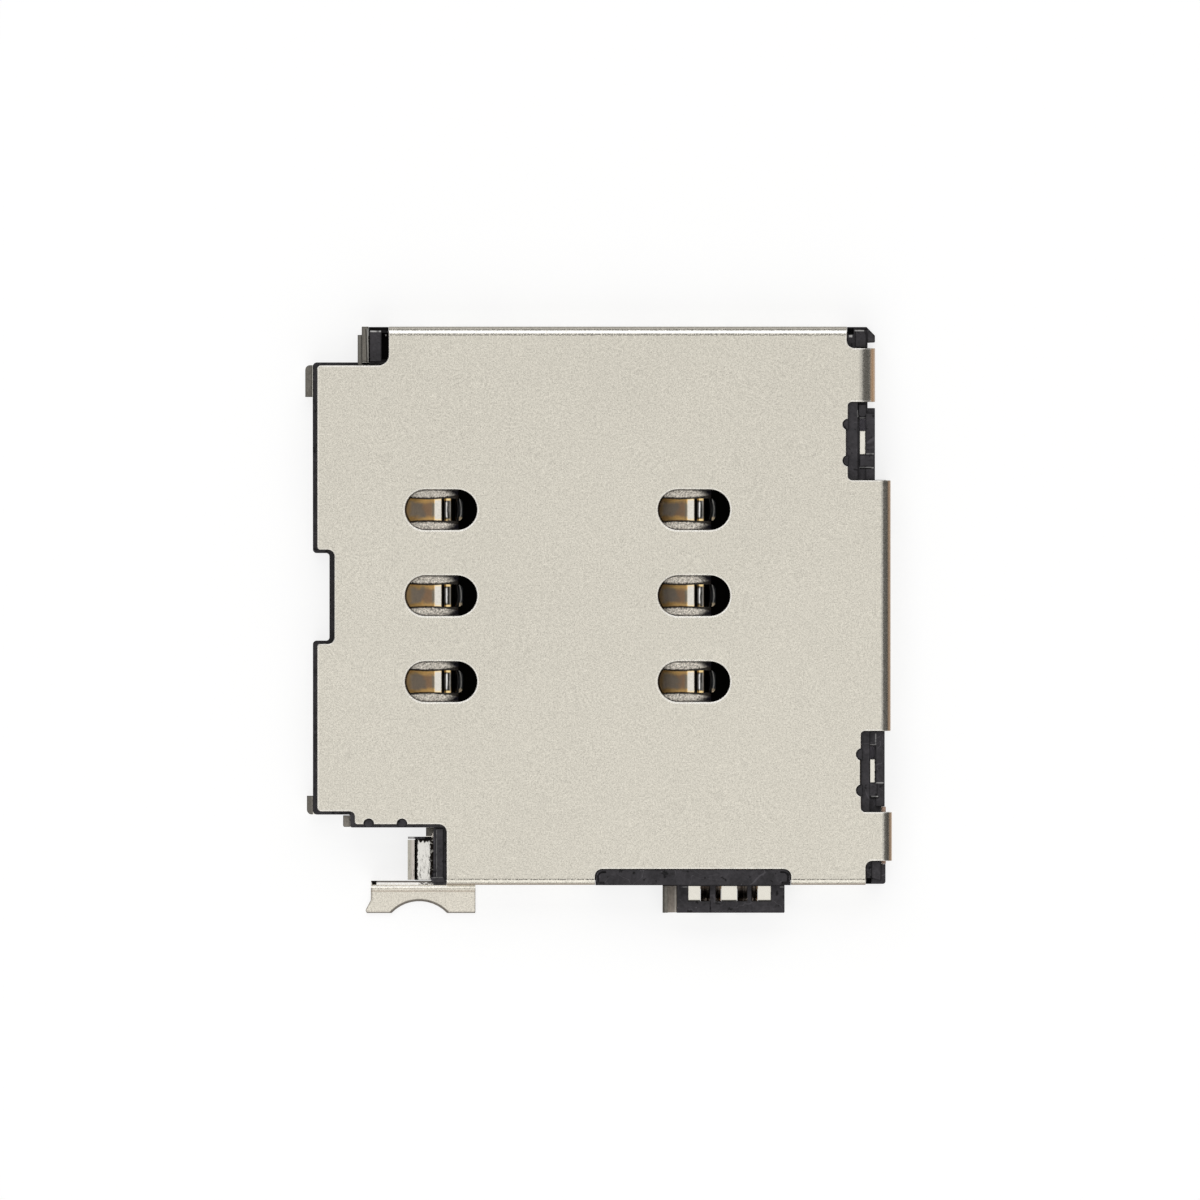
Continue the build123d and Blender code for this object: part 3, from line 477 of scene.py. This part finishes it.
def contact(name, cx, cy):
    """Contact spring: thin gold over nickel, worn to a bright band where the card rubs, that band painted lighter as a
    highlight too, gold left at the edges. Painted shade, reflections and highlights mark the drops, the shelf, the tip
    and the sides.
    """
    t = Tree(name)
    u, side = t.sub(t.x, cx), t.sub(t.y, cy)
    v = t.math("ABSOLUTE", side)
    wave = t.noise(3.2, 2.0, 0.5)
    fine = t.noise(15.0, 2.0, 0.6, 0.5)
    lines = t.noise(5.0, 3.0, 0.6, 0.3, stretch=(5.0, 0.7, 1.0))
    across = t.add(v, t.mul(t.sub(wave, 0.5), 0.22))
    rim = t.math("MAXIMUM", t.step(across, 0.15, 0.28), t.mul(t.step(t.add(u, t.mul(t.sub(wave, 0.5), 0.10)), -0.84, -0.96), 0.7))
    # ramp: grey-brown, redder towards the crest
    middle = t.mix(t.step(t.add(u, t.mul(t.sub(wave, 0.5), 0.7)), -0.60, -0.34), (0.475, 0.395, 0.315), (0.66, 0.43, 0.27))
    middle = t.mix(t.step(t.add(u, t.mul(t.sub(fine, 0.5), 0.06)), -0.29, -0.22), middle, (0.58, 0.51, 0.39))
    # painted light: the ramp brightened towards the slot's left end, where the cover's edge shades it
    near = t.step(u, -0.38, -0.98, smooth=False)
    middle = t.tone(middle, t.add(0.78, t.mul(t.mul(near, near), 1.32)))
    colour = t.mix(rim, middle, (0.98, 0.63, 0.25))
    # the crest's worn band, painted lighter as a highlight as well
    crest = t.band(u, -0.180, 0.016, 0.010)
    crest_tone = t.mix(t.step(v, 0.24, 0.32), (0.775, 0.740, 0.665), (1.0, 0.80, 0.48))
    colour = t.mix(crest, colour, crest_tone)
    # shelf behind the crest: a painted light streak as a highlight, a dark middle as painted reflection, a thin painted
    # light line, painted gold glints at the corners
    shelf = t.band(u, 0.118, 0.290, 0.008)
    streak = t.mul(t.band(t.add(u, t.mul(t.sub(wave, 0.5), 0.05)), 0.132, 0.190, 0.012), t.step(v, 0.27, 0.18))
    streak = t.mul(streak, t.add(0.55, lines))
    line = t.mul(t.band(u, 0.262, 0.285, 0.008), t.add(0.25, lines))
    shelf_tone = t.mix(t.step(lines, 0.50, 0.62), (0.035, 0.033, 0.03), (0.16, 0.15, 0.14))
    shelf_tone = t.mix(streak, shelf_tone, (1.0, 0.98, 0.95))
    shelf_tone = t.mix(line, shelf_tone, (0.50, 0.47, 0.43))
    corner = t.mul(t.step(v, 0.255, 0.285), t.step(t.add(wave, t.mul(side, 0.05)), 0.31, 0.41))
    shelf_tone = t.mix(corner, shelf_tone, (1.0, 0.74, 0.36))
    colour = t.mix(shelf, colour, shelf_tone)
    # painted reflection: the steep drops painted near black
    drop = t.math("MAXIMUM", t.band(u, 0.022, 0.112, 0.008), t.band(u, 0.296, 0.440, 0.010))
    colour = t.mix(drop, colour, (0.022, 0.019, 0.017))
    # painted reflection: the tip painted dark, with thin painted highlight lines and a gold glint on its lower side
    tip = t.step(u, 0.435, 0.455)
    bow = t.add(u, t.mul(t.mul(v, v), 0.55))
    tip_line = t.math("MAXIMUM", t.mul(t.band(bow, 0.500, 0.530, 0.014), 0.40), t.mul(t.band(bow, 0.588, 0.618, 0.010), t.add(0.30, lines)))
    tip_tone = t.mix(tip_line, (0.045, 0.047, 0.052), (0.62, 0.61, 0.58))
    tip_tone = t.mix(t.mul(t.step(side, -0.18, -0.26), t.band(u, 0.535, 0.625, 0.015)), tip_tone, (1.0, 0.80, 0.55))
    colour = t.mix(tip, colour, tip_tone)
    # painted shade: dark lines along both sides, and the slot's left end painted as its shadow on the spring
    width = t.add(0.318, t.mul(t.math("POWER", t.math("ABSOLUTE", t.add(u, 0.38)), 2.0), 0.10))
    side_shade = t.mul(t.step(t.add(t.sub(v, width), t.mul(t.sub(fine, 0.5), 0.03)), -0.022, -0.004), t.step(u, 0.46, 0.42))
    colour = t.mix(t.mul(side_shade, 0.90), colour, (0.03, 0.018, 0.010))
    slot_end_shade = t.step(t.sub(u, t.mul(t.mul(v, v), 1.0)), -0.990, -1.035)
    colour = t.mix(t.mul(slot_end_shade, 0.90), colour, (0.02, 0.015, 0.012))
    colour = t.tone(colour, t.add(0.84, t.mul(fine, 0.32)))
    on_ramp = t.step(u, -0.20, -0.26)
    rough = t.add(t.blend(on_ramp, t.blend(crest, 0.26, 0.16), 0.50), t.mul(fine, 0.08))
    normal = t.bump(t.add(t.mul(fine, 0.6), t.mul(lines, 0.5)), 3.0)
    return t.surface(colour, rough, 1.0, normal)


def switch_gold(name="switch_gold"):
    """Switch leaves: dull thin gold plating; between the frame's bars painted dark brown shade with painted gold edge
    highlights, with fine lengthwise drawing marks.
    """
    t = Tree(name)
    wave = t.noise(4.0, 2.0, 0.5)
    fine = t.noise(15.0, 3.0, 0.6)
    drawn = t.noise(9.0, 3.0, 0.6, 0.2, stretch=(1.6, 0.12, 0.12))
    colour = t.mix(t.step(wave, 0.35, 0.65), srgb(150, 120, 86), srgb(188, 146, 92))
    # painted shade: the leaves' tails between the frame's bars, with painted gold highlights on their edges
    tail = t.step(t.y, -7.78, -7.84)
    dark = t.mix(t.step(drawn, 0.42, 0.64), (0.05, 0.034, 0.026), (0.55, 0.48, 0.42))
    edges = t.math("MAXIMUM", t.band(t.x, 3.585, 3.640, 0.008), t.band(t.x, 4.672, 4.720, 0.008))
    dark = t.mix(edges, dark, (0.75, 0.46, 0.20))
    dark = t.mix(t.mul(t.step(t.y, -7.985, -7.94), 0.75), dark, (0.03, 0.022, 0.016))
    colour = t.mix(tail, colour, dark)
    colour = t.tone(colour, t.add(0.80, t.mul(fine, 0.40)))
    rough = t.add(t.blend(tail, 0.26, 0.45), t.mul(fine, 0.16))
    return t.surface(colour, rough, 1.0, t.bump(t.add(fine, drawn), 3.0))


def spring_steel():
    """Latch spring: dark blue-grey strip, with a sheared upper edge; its edges painted dark as shade."""
    t = Tree("spring_steel")
    grain = t.noise(12.0, 3.0, 0.6)
    stria = t.noise(5.0, 3.0, 0.6, 0.0, stretch=(1.0, 1.0, 0.15))
    colour = t.tone(srgb(122, 119, 113), t.add(0.56, t.add(t.mul(grain, 0.6), t.mul(stria, 0.3))))
    # painted shade: dark lines along the edges
    colour = t.mix(t.mul(t.edge_share(0.060), 0.80), colour, (0.030, 0.028, 0.027))
    bow = t.add(t.x, t.add(t.mul(t.sub(t.y, 8.1), 0.035), t.mul(t.sub(grain, 0.5), 0.02)))
    colour = t.mix(t.mul(t.band(bow, -6.872, -6.842, 0.010), 0.85), colour, (0.025, 0.023, 0.022))
    colour = t.mix(t.mul(t.band(bow, -6.830, -6.800, 0.010), 0.70), colour, (0.42, 0.41, 0.39))
    rough = t.add(0.34, t.mul(grain, 0.16))
    return t.surface(colour, rough, 1.0, t.bump(t.add(grain, stria), 4.0))


def rod_steel():
    """Push rod: dull sheet with a scraped bright strip on the head; the strip's ragged border and the head under the
    bar are painted black as shade.
    """
    t = Tree("rod_steel")
    ragged = t.noise(9.0, 3.0, 0.65, 0.5)
    shake = t.mul(t.sub(ragged, 0.5), 0.15)
    xe, ye = t.add(t.x, shake), t.add(t.y, t.mul(t.sub(t.noise(11.0, 1.0, stretch=(1.0, 0.15, 1.0)), 0.5), 0.30))
    strip = t.mul(t.band(xe, -5.340, -4.985, 0.012), t.step(ye, -6.54, -6.58))
    cut1 = t.noise(7.0, 4.0, 0.7, 0.2, at=t.turned(24, (5.0, 0.55, 1.0)))
    cut2 = t.noise(6.0, 3.0, 0.6, 0.2, at=t.turned(-38, (6.0, 0.5, 1.0)))
    grain = t.noise(12.0, 3.0, 0.6)
    near_edge = t.step(t.x, -5.10, -5.00)
    lines = t.add(t.step(cut1, 0.58, 0.66), t.mul(t.step(cut2, 0.60, 0.67), 0.8))
    lines = t.mul(t.mul(lines, t.add(0.55, t.mul(near_edge, 0.45))), t.step(t.y, -6.75, -7.15, 0.30, 1.0))
    bright = t.tone((0.86, 0.84, 0.79), t.sub(t.add(0.90, t.mul(grain, 0.14)), t.mul(lines, 0.62)))
    # painted shade: near black, with a few pale chips near the edge
    painted_shade = t.tone((0.016, 0.013, 0.011), t.add(0.4, grain))
    chips = t.mul(t.step(t.noise(8.0, 2.0, 0.6, at=t.turned(80)), 0.60, 0.66), near_edge)
    painted_shade = t.mix(t.mul(chips, 0.6), painted_shade, (0.50, 0.48, 0.44))
    inner = t.step(t.x, -5.545, -5.510)
    dull = t.tone(t.mix(inner, (0.480, 0.455, 0.395), (0.610, 0.560, 0.510)), t.add(0.84, t.mul(grain, 0.30)))
    # painted shade: the head under the bar, around the scraped strip
    inside = t.mul(t.band(t.x, -5.44, -4.55, 0.006), t.mul(t.step(t.y, -6.40, -6.45), t.step(t.z, 0.76, 0.72)))
    colour = t.mix(inside, dull, painted_shade)
    colour = t.mix(t.mul(strip, inside), colour, bright)
    rough = t.add(0.20, t.mul(grain, 0.14))
    normal = t.bump(t.sub(t.mul(grain, 0.6), t.mul(lines, 0.9)), 4.0)
    return t.surface(colour, rough, 1.0, normal)


def plain_steel(name, tone_to, rough0=0.26):
    """Small turned or stamped steel pieces: fine grain and faint brushing."""
    t = Tree(name)
    grain = t.noise(11.0, 3.0, 0.6)
    brush = t.noise(5.0, 3.0, 0.6, 0.0, at=t.turned(18, (1.0, 9.0, 1.0)))
    colour = t.tone(tone_to, t.add(0.78, t.add(t.mul(grain, 0.25), t.mul(brush, 0.18))))
    rough = t.add(rough0, t.mul(grain, 0.16))
    return t.surface(colour, rough, 1.0, t.bump(t.add(grain, brush), 3.0))


finish = {
    "top_shell": cover_steel(),
    "housing": black_plastic(),
    "base_plate": plate_steel(),
    "detect_spring": switch_gold(),
    "tray_latch_spring": spring_steel(),
    "eject_rod": rod_steel(),
    "eject_lever": plain_steel("lever_steel", srgb(206, 200, 190)),
    "lever_rivet": plain_steel("rivet_steel", srgb(214, 210, 204), 0.20),
}
finish["detect_contact"] = finish["detect_spring"]
for i, piece in enumerate(("vcc", "reset", "clock")):
    finish["contact_" + piece] = contact("contact_gold_" + piece, COLUMNS[0], ROWS[i])
for i, piece in enumerate(("ground", "program", "data")):
    finish["contact_" + piece] = contact("contact_gold_" + piece, COLUMNS[1], ROWS[i])
for name, mat in finish.items():
    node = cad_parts[name]
    node.data.materials.clear()
    node.data.materials.append(mat)

# ------------------------------------------------------------------ floor and light
floor_mesh = bpy.data.meshes.new("floor")
floor_mesh.from_pydata([(-3, -3, 0), (3, -3, 0), (3, 3, 0), (-3, 3, 0)], [], [(0, 1, 2, 3)])
floor = bpy.data.objects.new("floor", floor_mesh)
floor.location = (0, 0, -2e-6)
scene.collection.objects.link(floor)
f = Tree("floor_paper")
paper = f.tone((0.33, 0.33, 0.33), f.add(0.985, f.mul(f.noise(0.02), 0.03)))
floor_mesh.materials.append(f.surface(paper, 0.9, 0.0, Specular_IOR_Level=0.0, Emission_Color=(1, 1, 1, 1), Emission_Strength=0.768))

world = bpy.data.worlds.new("studio")
world.use_nodes = True
world.node_tree.nodes["Background"].inputs[0].default_value = (1.0, 0.985, 0.96, 1.0)
world.node_tree.nodes["Background"].inputs[1].default_value = 0.20
scene.world = world


def panel(name, at, towards, width, depth, radiance, colour=(1, 1, 1)):
    """A flat soft light of the given brightness, facing a point."""
    data = bpy.data.lights.new(name, "AREA")
    data.shape = "RECTANGLE"
    data.size, data.size_y = width, depth
    data.energy = radiance * math.pi * width * depth
    data.color = colour
    obj = bpy.data.objects.new(name, data)
    obj.location = at
    away = [t - a for a, t in zip(at, towards)]
    from mathutils import Vector
    obj.rotation_euler = Vector(away).to_track_quat("-Z", "Y").to_euler()
    obj.visible_camera = False
    scene.collection.objects.link(obj)
    return obj


# A broad soft panel overhead that the flat cover mirrors, and a soft panel above each long side.
panel("overhead", (-0.13, 0, 1.20), (-0.13, 0, 0), 1.34, 0.64, 0.775)
panel("side_top", (0, 0.86, 0.90), (0, 0, 0), 1.7, 0.92, 1.20)
panel("side_bottom", (0, -0.86, 0.90), (0, 0, 0), 1.7, 0.92, 1.08)
panel("low_bottom", (0, -1.50, 0.42), (0, 0, 0), 1.7, 0.50, 0.75)
